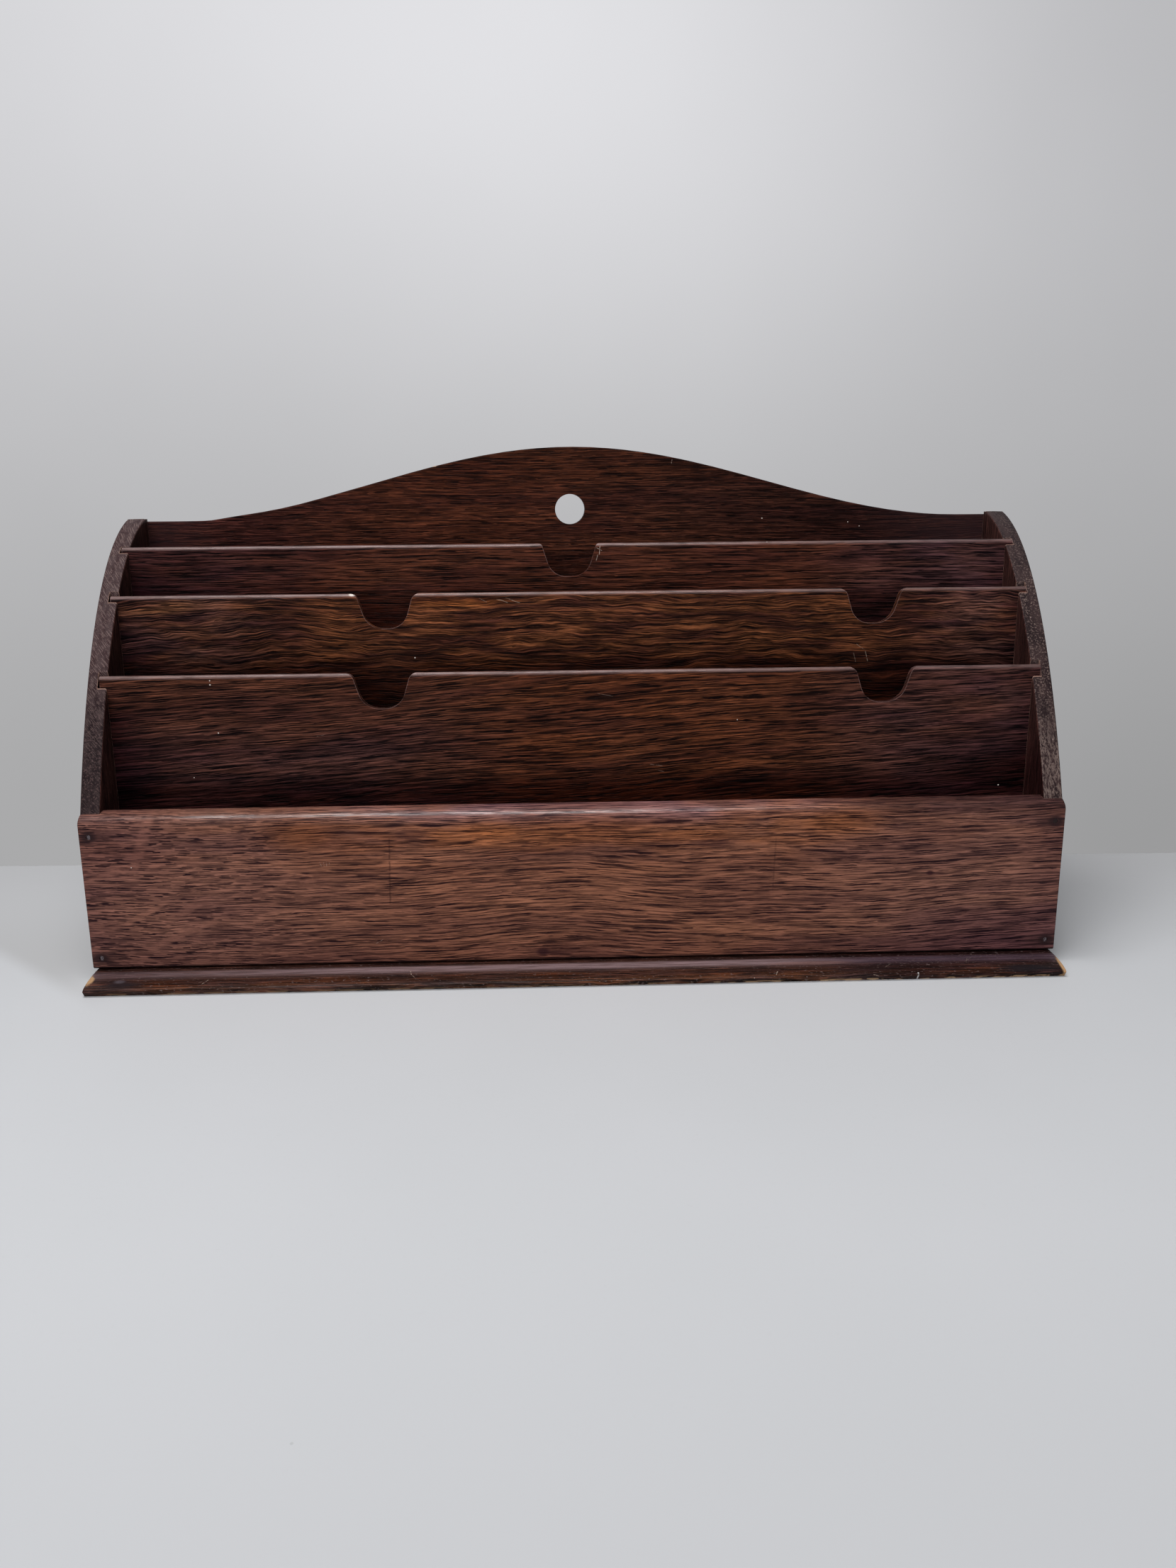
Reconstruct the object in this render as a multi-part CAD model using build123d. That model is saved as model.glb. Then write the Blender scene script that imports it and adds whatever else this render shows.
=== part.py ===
from build123d import *
import os
from math import pi, cos, sqrt

# Letter rack of stained oak boards, in millimetres.
# X runs to the right, Y to the back, Z up. The origin is on the table, under the middle of the rack.

# Width
overall_width = 400.0          # over the outer faces of the sides
side_thickness = 8.0

# Depth, from the front board's face to the back panel's rear face
front_board_thickness = 8.0
front_slot = 17.4              # clear gap between the front board and the first divider
middle_slot = 18.4             # clear gap between the first and second dividers
rear_slot = 16.0               # clear gap between the second and third dividers
back_slot = 25.7               # clear gap between the third divider and the back panel
divider_thickness = 3.2
back_panel_thickness = 8.0

# Base
base_thickness = 5.0
base_projection = 16.8         # how far the nose stands out in front of the front board
base_end_setback = 1.5         # how far each end stays inside the outer faces of the sides
nose_drop = 2.8                # height of the rounded upper part of the nose
nose_undercut = 1.6            # how far the lower part of the nose runs back under

# Front board
front_board_top = 70.8         # height of its top above the table
front_board_lift = 0.6         # shadow gap between it and the base
front_rounding_drop = 4.6      # height of the quarter ellipse along its top
front_lap = 4.0                # wood left in front of each side's front edge

# Sides
side_height = 184.4
arch_foot_drop = 0.9           # the arch starts this far below the front board's top
arch_overrun = 43.9            # the arch's ellipse would run on this far in front of its foot
arch_crown_back = 3.7          # the ellipse's crown lies this far behind the back panel
arch_crown_rise = 2.0          # and this far above the flat top of the side
panel_lap = 4.0                # depth of the rebate that holds the back panel, across the side

# Grooves and dividers
groove_depth = 3.8
divider_side_clearance = 0.15  # on each face of a divider in its groove
divider_end_clearance = 0.7    # at each end, in the middle position
divider_shift = 0.3            # the dividers lie this far to the right of the middle
front_divider_reveal = 1.3     # how far each divider's top stays below the arch at its groove
middle_divider_reveal = 1.6
rear_divider_reveal = 0.2

# Finger notches
notch_depth = 14.8
rear_notch_depth = 14.3
notch_bottom_width = 15.0      # between the walls, where they would meet the bottom
notch_mouth_width = 24.2       # between the walls, where they meet the top of the divider
notch_bottom_radius = 8.5
notch_lip_radius = 3.9
rear_notch_lip_radius = 1.7
left_notch_from_end = 114.8    # from the divider's left end to the middle of the notch
right_notch_from_end = 66.1    # from the divider's right end to the middle of the notch
rear_notch_offset = -1.4       # from the rear divider's middle to the middle of its notch

# Back panel
panel_end_drop = 1.2           # its ends stay this far below the tops of the sides
hump_rise = 31.5               # rise of the ogee from the ends to the middle
panel_flat_end = 11.0          # straight stretch at each end, before the ogee
panel_fit = 0.2                # gap at each end, in the sides' rebates
hanging_hole_diameter = 13.6
hanging_hole_below_top = 27.6  # from the top of the hump down to the middle of the hole

# Wire nails
nail_length = 18.0
nail_shank_diameter = 1.4
nail_head_diameter = 2.0
nail_head_thickness = 0.8
nail_set = 0.3                 # how far the head is punched below the surface
nail_clearance = 0.02          # around the nail in its hole
front_nail_from_top = 9.2      # lines of the two nails at each end of the front board
front_nail_from_bottom = 4.4
back_nail_from_bottom = 22.0
back_nail_from_top = 22.0
panel_nail_spacing = 120.0     # between the three base nails under the back panel

# Worn arrises
board_arris = 0.6

# Drawing
cut_past = 1.0                 # a cutter runs this far past the faces it cuts through
near = 0.01                    # edges and corners are picked within this distance
curve_steps = 8                # stretches between the points of a drawn curve

# Places that follow from the sizes above
half_width = overall_width / 2
inner_half_width = half_width - side_thickness
carcase_depth = (front_board_thickness + front_slot + middle_slot + rear_slot + back_slot
                 + 3 * divider_thickness + back_panel_thickness)
overall_depth = base_projection + carcase_depth
front_y = base_projection - overall_depth / 2
back_y = front_y + carcase_depth
side_front_y = front_y + front_lap
panel_front_y = back_y - back_panel_thickness
front_divider_y = front_y + front_board_thickness + front_slot
middle_divider_y = front_divider_y + divider_thickness + middle_slot
rear_divider_y = middle_divider_y + divider_thickness + rear_slot
base_top = base_thickness
panel_end_height = side_height - panel_end_drop
hump_top = panel_end_height + hump_rise
side_middle_x = half_width - side_thickness / 2
panel_middle_y = back_y - back_panel_thickness / 2
half_divider = inner_half_width + groove_depth - divider_end_clearance
paired_notches = (left_notch_from_end - half_divider, half_divider - right_notch_from_end)
single_notch = (rear_notch_offset,)

# The arch is part of an upright ellipse that starts at the front board's top
arch_foot_z = front_board_top - arch_foot_drop
arch_centre_y = back_y + arch_crown_back
arch_crown_z = side_height + arch_crown_rise
arch_half_depth = arch_centre_y - side_front_y + arch_overrun
foot_share = (arch_centre_y - side_front_y) / arch_half_depth
arch_half_height = (arch_crown_z - arch_foot_z) / (1 - sqrt(1 - foot_share ** 2))
arch_centre_z = arch_crown_z - arch_half_height


def arch_height(y):
    """Height of the sides' arched edge at a given depth."""
    share = (arch_centre_y - y) / arch_half_depth
    return min(side_height, arch_centre_z + arch_half_height * sqrt(1 - share ** 2))


def box(x_range, y_range, z_range):
    """A plain box between three pairs of coordinates."""
    size = [high - low for low, high in (x_range, y_range, z_range)]
    middle = [(low + high) / 2 for low, high in (x_range, y_range, z_range)]
    return Pos(*middle) * Box(*size)


def x_range_at(side, inner, outer):
    """The X range between two distances from the middle, on the left (-1) or the right (1)."""
    return sorted((side * inner, side * outer))


def along_x(lines, x_start, x_end):
    """Close lines drawn as (Y, Z) and run the shape along X between two ends."""
    face = make_face(Plane.YZ * lines)
    return Pos(x_start, 0, 0) * extrude(face, amount=x_end - x_start, dir=(1, 0, 0))


def edges_between(part, x_range, y_range, z_range):
    """The edges of a part whose middles lie inside a box."""
    found = part.edges()
    for axis, (low, high) in zip((Axis.X, Axis.Y, Axis.Z), (x_range, y_range, z_range)):
        found = found.filter_by_position(axis, low, high)
    return found


# Nails
def rod_down(radius, length):
    """A round rod that hangs down from the origin."""
    return Cylinder(radius, length, align=(Align.CENTER, Align.CENTER, Align.MAX))


def nail():
    """One wire nail along -Z, with the top of its head at the origin."""
    head = rod_down(nail_head_diameter / 2, nail_head_thickness)
    shank = rod_down(nail_shank_diameter / 2, nail_length - nail_head_thickness)
    return head + Pos(0, 0, -nail_head_thickness) * shank


def nail_hole():
    """The hole for one nail along -Z, open at the surface, with the surface at the origin."""
    head_depth = nail_set + nail_head_thickness + nail_clearance
    shank_depth = nail_set + nail_length + nail_clearance
    head = rod_down(nail_head_diameter / 2 + nail_clearance, head_depth)
    shank = rod_down(nail_shank_diameter / 2 + nail_clearance, shank_depth)
    return head + shank


def front_nail_places():
    low = base_top + front_board_lift + front_nail_from_bottom
    high = front_board_top - front_nail_from_top
    return [Pos(side * side_middle_x, front_y, z) * Rot(X=90) for side in (-1, 1) for z in (low, high)]


def back_nail_places():
    x = inner_half_width + panel_lap / 2
    low = base_top + back_nail_from_bottom
    high = panel_end_height - back_nail_from_top
    heights = (low, (low + high) / 2, high)
    return [Pos(side * x, back_y, z) * Rot(X=-90) for side in (-1, 1) for z in heights]


def base_nail_places():
    slot_middles = (middle_divider_y - middle_slot / 2,
                    rear_divider_y - rear_slot / 2,
                    panel_front_y - back_slot / 2)
    places = [(side * side_middle_x, y) for side in (-1, 1) for y in slot_middles]
    places += [(x, panel_middle_y) for x in (-panel_nail_spacing, 0, panel_nail_spacing)]
    return [Pos(x, y, 0) * Rot(X=180) for x, y in places]


def nails(places):
    return [place * Pos(0, 0, -nail_set) * nail() for place in places]


def nail_holes():
    places = front_nail_places() + back_nail_places() + base_nail_places()
    return [place * nail_hole() for place in places]


# Base
def base_board():
    nose_y = front_y - base_projection
    nose_z = base_top - nose_drop
    top = Line((back_y, base_top), (front_y, base_top))
    nose = EllipticalCenterArc((front_y, nose_z), base_projection, nose_drop, 90, arc_size=90)
    under = Line((nose_y, nose_z), (nose_y + nose_undercut, 0))
    bottom = Line((nose_y + nose_undercut, 0), (back_y, 0))
    rear = Line((back_y, 0), (back_y, base_top))
    half_length = half_width - base_end_setback
    board = along_x(top + nose + under + bottom + rear, -half_length, half_length)
    ends = board.edges().group_by(Axis.X)
    nose_tip_radius = nose_drop ** 2 / base_projection
    return fillet(ends[0] + ends[-1], min(board_arris, nose_tip_radius / 2))


# Front board
def front_board():
    low = base_top + front_board_lift
    rounding_z = front_board_top - front_rounding_drop
    inner_y = front_y + front_board_thickness
    front = Line((front_y, low), (front_y, rounding_z))
    top = EllipticalCenterArc((inner_y, rounding_z), front_board_thickness, front_rounding_drop,
                              90, arc_size=90)
    rear = Line((inner_y, front_board_top), (inner_y, low))
    bottom = Line((inner_y, low), (front_y, low))
    board = along_x(front + top + rear + bottom, -half_width, half_width)
    for side in (-1, 1):
        rebate_x = x_range_at(side, inner_half_width, half_width + cut_past)
        board -= box(rebate_x, (side_front_y, inner_y + cut_past), (0, side_height))
    whole_length = (-half_width, half_width)
    face_depth = (front_y - near, front_y + near)
    low_edge = edges_between(board, whole_length, face_depth, (low - near, low + near))
    ends = board.edges().group_by(Axis.X)
    return fillet(low_edge + ends[0] + ends[-1], board_arris)


# Sides
def side_outline(x_start, x_end):
    flat_share = sqrt(1 - ((side_height - arch_centre_z) / arch_half_height) ** 2)
    flat_y = arch_centre_y - arch_half_depth * flat_share
    foot = (side_front_y, arch_foot_z)
    start = Line((side_front_y, base_top), foot)
    stretch = (flat_y - side_front_y) / curve_steps
    arch_depths = [side_front_y + stretch * step for step in range(curve_steps + 1)]
    arch = Spline(*[(y, arch_height(y)) for y in arch_depths])
    flat = Line((flat_y, side_height), (back_y, side_height))
    rear = Line((back_y, side_height), (back_y, base_top))
    bottom = Line((back_y, base_top), (side_front_y, base_top))
    return along_x(start + arch + flat + rear + bottom, x_start, x_end)


def groove(y, side):
    """The upright groove for a divider whose front face is at y, open at the arched edge."""
    x_range = x_range_at(side, inner_half_width - cut_past, inner_half_width + groove_depth)
    y_range = (y - divider_side_clearance, y + divider_thickness + divider_side_clearance)
    return box(x_range, y_range, (base_top - cut_past, side_height + cut_past))


def side_board(side):
    board = side_outline(*x_range_at(side, inner_half_width, half_width))
    board = fillet(board.edges().filter_by(GeomType.BSPLINE), board_arris)
    rebate_x = x_range_at(side, inner_half_width - cut_past, inner_half_width + panel_lap)
    whole_height = (base_top - cut_past, side_height + cut_past)
    board -= box(rebate_x, (panel_front_y, back_y + cut_past), whole_height)
    for y in (front_divider_y, middle_divider_y, rear_divider_y):
        board -= groove(y, side)
    return board


# Back panel
def ogee_height(x):
    """Height of the back panel's top edge, a raised cosine between two flat ends."""
    half_span = inner_half_width - panel_flat_end
    share = min(abs(x) / half_span, 1)
    return panel_end_height + hump_rise * (1 + cos(pi * share)) / 2


def back_panel():
    half_length = inner_half_width + panel_lap - panel_fit
    half_span = inner_half_width - panel_flat_end
    curve_places = [half_span * step / curve_steps for step in range(curve_steps, -curve_steps - 1, -1)]
    curve = Spline(*[(x, ogee_height(x)) for x in curve_places], tangents=[(-1, 0), (-1, 0)])
    lines = Line((-half_length, base_top), (half_length, base_top))
    lines += Line((half_length, base_top), (half_length, panel_end_height))
    lines += Line((half_length, panel_end_height), (half_span, panel_end_height))
    lines += curve
    lines += Line((-half_span, panel_end_height), (-half_length, panel_end_height))
    lines += Line((-half_length, panel_end_height), (-half_length, base_top))
    panel = extrude(Plane.XZ * make_face(lines), amount=back_panel_thickness, dir=(0, 1, 0))
    panel = Pos(0, panel_front_y, 0) * panel
    panel = fillet(panel.edges().filter_by(GeomType.BSPLINE), board_arris)
    hole_length = back_panel_thickness + 2 * cut_past
    hole = Cylinder(hanging_hole_diameter / 2, hole_length, rotation=(90, 0, 0))
    return panel - Pos(0, panel_middle_y, hump_top - hanging_hole_below_top) * hole


# Dividers
def notch(x, top, depth, lip_radius):
    """The outline cut away for one finger notch, drawn as (X, Z)."""
    bottom_half = notch_bottom_width / 2
    mouth_half = notch_mouth_width / 2
    floor_z = top - depth
    cut = make_face(Polyline((x - bottom_half, floor_z), (x + bottom_half, floor_z),
                             (x + mouth_half, top), (x + mouth_half + lip_radius, top + lip_radius),
                             (x - mouth_half - lip_radius, top + lip_radius), (x - mouth_half, top),
                             close=True))
    corners = cut.vertices().group_by(Axis.Y)[0]
    return fillet(corners, notch_bottom_radius)


def divider(y, reveal, notch_places, depth, lip_radius):
    """A divider board, its front face at y, its top a reveal below the arch."""
    top = arch_height(y + divider_thickness) - reveal
    outline = make_face(Polyline((-half_divider, base_top), (half_divider, base_top),
                                 (half_divider, top), (-half_divider, top), close=True))
    for x in notch_places:
        outline -= notch(x, top, depth, lip_radius)
    lips = [v for v in outline.vertices() if abs(v.Y - top) < near and abs(v.X) < half_divider - near]
    outline = fillet(lips, lip_radius)
    board = extrude(Plane.XZ * outline, amount=divider_thickness, dir=(0, 1, 0))
    board = Pos(divider_shift, y, 0) * board
    radius = divider_thickness / 2
    round_top = Pos(0, y + radius, top - radius) * Cylinder(radius, overall_width, rotation=(0, 90, 0))
    below = box((-half_width, half_width), (y, y + divider_thickness), (0, top - radius))
    return board & (round_top + below)


def make_parts():
    parts = {
        "base_board": base_board(),
        "front_board": front_board(),
        "left_side": side_board(-1),
        "right_side": side_board(1),
        "back_panel": back_panel(),
    }
    for hole in nail_holes():
        for name in parts:
            parts[name] -= hole
    parts["front_divider"] = divider(front_divider_y, front_divider_reveal,
                                     paired_notches, notch_depth, notch_lip_radius)
    parts["middle_divider"] = divider(middle_divider_y, middle_divider_reveal,
                                      paired_notches, notch_depth, notch_lip_radius)
    parts["rear_divider"] = divider(rear_divider_y, rear_divider_reveal,
                                    single_notch, rear_notch_depth, rear_notch_lip_radius)
    parts["front_nails"] = Compound(children=nails(front_nail_places()))
    parts["back_nails"] = Compound(children=nails(back_nail_places()))
    parts["base_nails"] = Compound(children=nails(base_nail_places()))
    return parts


os.makedirs("parts", exist_ok=True)
for name, part in make_parts().items():
    export_step(part, f"parts/{name}.step")
    size = part.bounding_box().size
    print(f"{name}: {size.X:.1f} x {size.Y:.1f} x {size.Z:.1f} mm")
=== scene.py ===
# %% [markdown]
# # A dark oak letter rack
# The construction is finished before this file starts: eight boards and nineteen nails, each at its real
# place and size. This lesson dresses them. It loads the boards as they are, mixes a stained oak finish
# from a few shared node groups, sets up a table with soft light, and puts the camera where the
# photographer stood.

# %% Load the rack
import bpy
from math import atan2, cos, hypot, radians, sin
from mathutils import Matrix, Vector


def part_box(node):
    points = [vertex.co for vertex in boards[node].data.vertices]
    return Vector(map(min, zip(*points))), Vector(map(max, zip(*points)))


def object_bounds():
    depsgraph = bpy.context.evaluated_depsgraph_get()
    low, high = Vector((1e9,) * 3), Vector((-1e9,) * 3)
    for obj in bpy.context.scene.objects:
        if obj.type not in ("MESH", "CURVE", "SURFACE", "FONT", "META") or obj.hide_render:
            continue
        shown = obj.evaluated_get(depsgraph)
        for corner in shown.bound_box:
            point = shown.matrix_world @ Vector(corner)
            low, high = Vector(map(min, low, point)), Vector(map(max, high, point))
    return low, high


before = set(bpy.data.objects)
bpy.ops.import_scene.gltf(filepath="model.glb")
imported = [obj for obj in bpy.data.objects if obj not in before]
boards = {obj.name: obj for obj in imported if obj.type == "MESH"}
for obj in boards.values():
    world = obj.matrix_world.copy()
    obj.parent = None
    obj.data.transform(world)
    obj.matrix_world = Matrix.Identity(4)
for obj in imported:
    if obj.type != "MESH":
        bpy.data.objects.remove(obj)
cad_low, cad_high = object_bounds()
MM = 0.001
print("loaded", len(boards), "nodes, overall size in mm:", [round(v / MM, 1) for v in cad_high - cad_low])

# %% [markdown]
# ## Wires
# A shader is a web of small nodes. Linking them one by one hides the idea behind the finish. So each
# output of a node is held as a wire here, and arithmetic on wires adds the nodes that do it: a formula
# reads as it does on paper. New nodes go into the tree that lies on the bench. A tuple stands for a
# colour and a list for a vector.

# %% Wires and nodes
class Wire:
    """One output of a node. Arithmetic on wires and numbers adds Math nodes to the tree on the bench."""

    bench = None

    def __init__(self, socket):
        self.socket = socket

    def __add__(self, other):
        return maths("ADD", self, other)

    def __sub__(self, other):
        return maths("SUBTRACT", self, other)

    def __rsub__(self, other):
        return maths("SUBTRACT", other, self)

    def __mul__(self, other):
        return maths("MULTIPLY", self, other)

    def __truediv__(self, other):
        return maths("DIVIDE", self, other)

    def __rtruediv__(self, other):
        return maths("DIVIDE", other, self)

    def __pow__(self, other):
        return maths("POWER", self, other)

    def __abs__(self):
        return maths("ABSOLUTE", self)


def fill(socket, value):
    """Fills a socket with a wire, a number, a vector or an opaque colour."""
    if isinstance(value, Wire):
        Wire.bench.links.new(value.socket, socket)
    else:
        socket.default_value = (*value, 1.0) if isinstance(value, tuple) else value


def add_node(kind, sockets=None, output=0, **settings):
    """Adds a node and fills its sockets. Gives one of its outputs, or a list of them."""
    made = Wire.bench.nodes.new("ShaderNode" + kind)
    for name, value in settings.items():
        setattr(made, name, value)
    for name, value in (sockets or {}).items():
        fill(made.inputs[name], value)
    if isinstance(output, list):
        return [Wire(made.outputs[name]) for name in output]
    return Wire(made.outputs[output])


def maths(operation, *values):
    """One step of arithmetic."""
    return add_node("Math", dict(enumerate(values)), operation=operation)


print("wires ready")

# %% Shader helpers
def highest(first, *others):
    """The largest of several values."""
    for other in others:
        first = maths("MAXIMUM", first, other)
    return first


def fade(value, start, end, low=0.0, high=1.0):
    """Takes a value smoothly from low at start to high at end, and holds it flat outside."""
    sockets = {"Value": value, "From Min": start, "From Max": end, "To Min": low, "To Max": high}
    return add_node("MapRange", sockets, "Result", interpolation_type="SMOOTHSTEP")


def mix(share, first, second, way="MIX"):
    """Mixes two colours. A share of 0 gives the first and 1 the second."""
    return add_node("Mix", {0: share, 6: first, 7: second}, 2, data_type="RGBA", blend_type=way)


def lay(colour, mask, tone):
    """Lays a tone over a colour, as paint does."""
    return mix(mask, colour, tone)


def tint(colour, mask, tone):
    """Multiplies a colour by a tone, as stain does."""
    return mix(mask, colour, tone, "MULTIPLY")


def combine(x, y, z=0.0):
    """Three numbers as one vector."""
    return add_node("CombineXYZ", {"X": x, "Y": y, "Z": z})


def split(vector):
    """A vector as three numbers."""
    return add_node("SeparateXYZ", {"Vector": vector}, [0, 1, 2])


def scaled(vector, factor):
    """A vector times a number."""
    return add_node("VectorMath", {0: vector, "Scale": factor}, operation="SCALE")


def noise(vector, detail=1.0, roughness=0.5):
    """Soft noise from 0 to 1, with features about one unit across."""
    return add_node("TexNoise", {"Vector": vector, "Scale": 1.0, "Detail": detail, "Roughness": roughness})


def cells(vector, wanted, dimensions):
    """A lattice with one random point to a cell: a wanted output, and the cell's three random numbers."""
    sockets = {"Vector": vector, "Scale": 1.0}
    colour, found = add_node("TexVoronoi", sockets, ["Color", wanted], voronoi_dimensions=dimensions)
    return found, add_node("SeparateColor", {"Color": colour}, [0, 1, 2])


print("helpers ready")

# %% Node group helpers
def start_group(name, inputs, outputs):
    """Puts a node group with named sockets on the bench. Gives its inputs as wires."""
    group = Wire.bench = bpy.data.node_groups.new(name, "ShaderNodeTree")
    for label, value in inputs.items():
        kind = {float: "Float", tuple: "Color", list: "Vector"}[type(value)]
        fill(group.interface.new_socket(label, in_out="INPUT", socket_type="NodeSocket" + kind), value)
    for label, kind in outputs.items():
        group.interface.new_socket(label, in_out="OUTPUT", socket_type="NodeSocket" + kind)
    given = group.nodes.new("NodeGroupInput").outputs
    return {label: Wire(given[label]) for label in inputs}


def finish_group(**outputs):
    """Fills the outputs of the group on the bench."""
    made = Wire.bench.nodes.new("NodeGroupOutput").inputs
    for label, value in outputs.items():
        fill(made[label], value)
    print("group", Wire.bench.name, "with", len(Wire.bench.nodes), "nodes")


def place_group(name, **values):
    """Places a finished group and gives its outputs. In a label, an underscore stands for a space."""
    group = bpy.data.node_groups[name]
    sockets = {label.replace("_", " "): value for label, value in values.items()}
    labels = [socket.name for socket in group.interface.items_tree if socket.in_out == "OUTPUT"]
    return dict(zip(labels, add_node("Group", sockets, labels, node_tree=group)))


print("group helpers ready")

# %% [markdown]
# ## Where the grain runs
# A board is sawn along the trunk, so its pores are long and its growth lines wander a little from end
# to end. An image of oak would stretch on a rounded edge. Instead each board is given sawyer's
# coordinates in millimetres: along the grain, across it, and through the thickness. Slow noise bends the
# lines, quick noise ripples them, and a slope carries them through the thickness, so that the lines on a
# face run on over its edge.

# %% Group: grain lines
SEED_STEP = 317.0
NOWHERE = [0.0, 0.0, 0.0]


def make_grain_lines():
    given = start_group(
        "Grain lines",
        {"Board": NOWHERE, "Seed": 0.0, "Tilt": 0.0, "Wander": 3.0, "Wander Length": 120.0,
         "Ripple": 0.4, "Ripple Length": 18.0, "Slope": 1.0},
        {"Along": "Float", "Line": "Float"})
    along, across, through = split(given["Board"])
    seeded = along + given["Seed"] * SEED_STEP
    line = across + through * given["Slope"] + along * given["Tilt"]
    for bend, squeeze in (("Wander", 2.2), ("Ripple", 3.0)):
        length = given[bend + " Length"]
        wave = noise(combine(seeded / length, across * squeeze / length, given["Seed"])) - 0.5
        line = line + wave * (given[bend] * 2.0)
    finish_group(Along=seeded, Line=line)


make_grain_lines()

# %% [markdown]
# ## Pores
# Oak is ring-porous: each spring it grows a row of wide vessels, and the saw opens them as dark dashes
# in staggered rows. Thresholded noise gives blots, so each dash is drawn around its own point instead. A
# Voronoi texture on a stretched lattice gives one point to each cell, and the distance to that point,
# measured apart along and across the grain, makes a thin dash with tapered ends. The cell's random
# colour makes some dashes longer and bolder than others.

# %% Group: pores
def make_pores():
    given = start_group(
        "Pores",
        {"Along": 0.0, "Line": 0.0, "Shift": 0.0, "Length": 16.0, "Spacing": 1.7, "Width": 0.6, "Share": 0.8},
        {"Mask": "Float"})
    place = combine(given["Along"] / given["Length"] + given["Shift"],
                    given["Line"] / given["Spacing"] + given["Shift"])
    point, (chance, long_chance, wide_chance) = cells(place, "Position", "2D")
    du, dv, _ = split(add_node("VectorMath", {0: place, 1: point}, operation="SUBTRACT"))
    taper = fade(abs(du) / (long_chance * 0.35 + 0.25), 0.55, 1.0, 1.0, 0.0)
    half_width = given["Width"] * (wide_chance * 0.5 + 0.3) * (taper * 0.6 + 0.4)
    core = fade(abs(dv) * given["Spacing"] / half_width, 0.45, 1.15, 1.0, 0.0)
    finish_group(Mask=core * taper * maths("LESS_THAN", chance, given["Share"]))


make_pores()

# %% [markdown]
# ## Stained oak
# The stain soaks deepest into the pores and the soft spring wood, and a little into broad cloudy
# patches. So the colour starts as a slow mix of two browns, gets fine fibres, and then the dashes in
# three sizes are laid over it in a third, nearly black brown. The same masks give the height for the bump
# and the roughness, so that colour and relief agree. Where the sawn face is calm, the dashes stay away.

# %% Group: stained oak
LINE_INPUTS = ("Board", "Seed", "Tilt", "Wander", "Wander Length", "Ripple", "Ripple Length", "Slope")
PATCH_HEIGHT = 0.16
DEEPEST_FIBRE = 0.12


def make_stained_oak():
    given = start_group(
        "Stained oak",
        {"Board": NOWHERE, "Seed": 0.0, "Tilt": 0.0, "Wander": 3.0, "Wander Length": 120.0,
         "Ripple": 0.5, "Ripple Length": 18.0, "Slope": 1.0, "Spacing": 1.0, "Width": 1.0, "Short": 0.0,
         "Calm": 0.0, "Pore Strength": 1.0, "Line Strength": 0.62, "Fibre Strength": 0.48,
         "Patch Length": 60.0, "Light": (0.2, 0.1, 0.06), "Middle": (0.1, 0.05, 0.03),
         "Dark": (0.02, 0.01, 0.01)},
        {"Color": "Color", "Pores": "Float", "Height": "Float"})
    lines = place_group("Grain lines", **{label: given[label] for label in LINE_INPUTS})
    along = lines["Along"]
    line = lines["Line"] / given["Spacing"]

    def stretched(length, height, detail, depth, roughness=0.5):
        return noise(combine(along / length, line / height, depth), detail, roughness)

    ragged = stretched(6.0, 1.2, 3.0, 11.0) - 0.5

    def layer(shift, length, spacing, width, share):
        return place_group("Pores", Along=along, Line=line + ragged * (spacing * 0.7), Shift=shift,
                           Length=length, Spacing=spacing, Width=given["Width"] * width, Share=share)["Mask"]

    crowd = stretched(60.0, 3.2, 2.0, 3.0)
    crowded = fade(crowd, 0.30, 0.55, 0.55, 1.0)
    long_pores = highest(layer(0.0, 40.0, 1.3, 0.52, crowded), layer(40.7, 20.0, 1.05, 0.46, crowded))
    short_pores = highest(layer(5.3, 11.0, 1.05, 0.52, 0.97), layer(23.9, 8.0, 0.9, 0.42, 0.85))
    fine_pores = layer(77.1, 10.0, 0.6, 0.26, 0.97)
    pores = add_node("Mix", {0: given["Short"], 2: long_pores, 3: short_pores}, data_type="FLOAT")
    pores = pores * fade(stretched(14.0, 1.6, 2.0, 31.0), 0.34, 0.60, 0.45, 1.0)
    pores = highest(pores, fine_pores * 0.55) * (1.0 - given["Calm"])

    patch = given["Patch Length"]
    patches = noise(combine(along / patch, line / (patch * PATCH_HEIGHT), 9.0), 2.0)
    colour = mix(fade(patches, 0.33, 0.64), given["Middle"], given["Light"])
    fibre = fade(stretched(18.0, 0.45, 3.0, 7.0, 0.7), 0.36, 0.66)
    ridge = fade(stretched(30.0, 1.0, 3.0, 21.0, 0.6), 0.38, 0.66)
    strength = given["Fibre Strength"]
    shade = (fibre - 0.5) * strength + 1.0
    shade = highest(shade + (ridge - 0.5) * (strength * 0.7), DEEPEST_FIBRE)
    colour = tint(colour, 1.0, combine(shade, shade, shade))
    spring = fade(stretched(36.0, 0.8, 3.0, 5.0, 0.65), 0.50, 0.64)
    smoky = fade(crowd, 0.45, 0.75, 0.0, 0.3)
    darkening = highest(spring, smoky) * given["Line Strength"] * (given["Short"] * -0.35 + 1.0)
    colour = lay(colour, darkening, given["Dark"])
    colour = lay(colour, pores * given["Pore Strength"], given["Dark"])
    finish_group(Color=colour, Pores=pores, Height=pores * -1.0 + fibre * 0.35)


make_stained_oak()

# %% [markdown]
# ## Rubbed edges
# Hands rub the stain off sharp edges first, in broken stretches. The Bevel node looks round a corner:
# where its softened normal differs from the true one, an arris is near. Noise breaks the line up.

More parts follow.
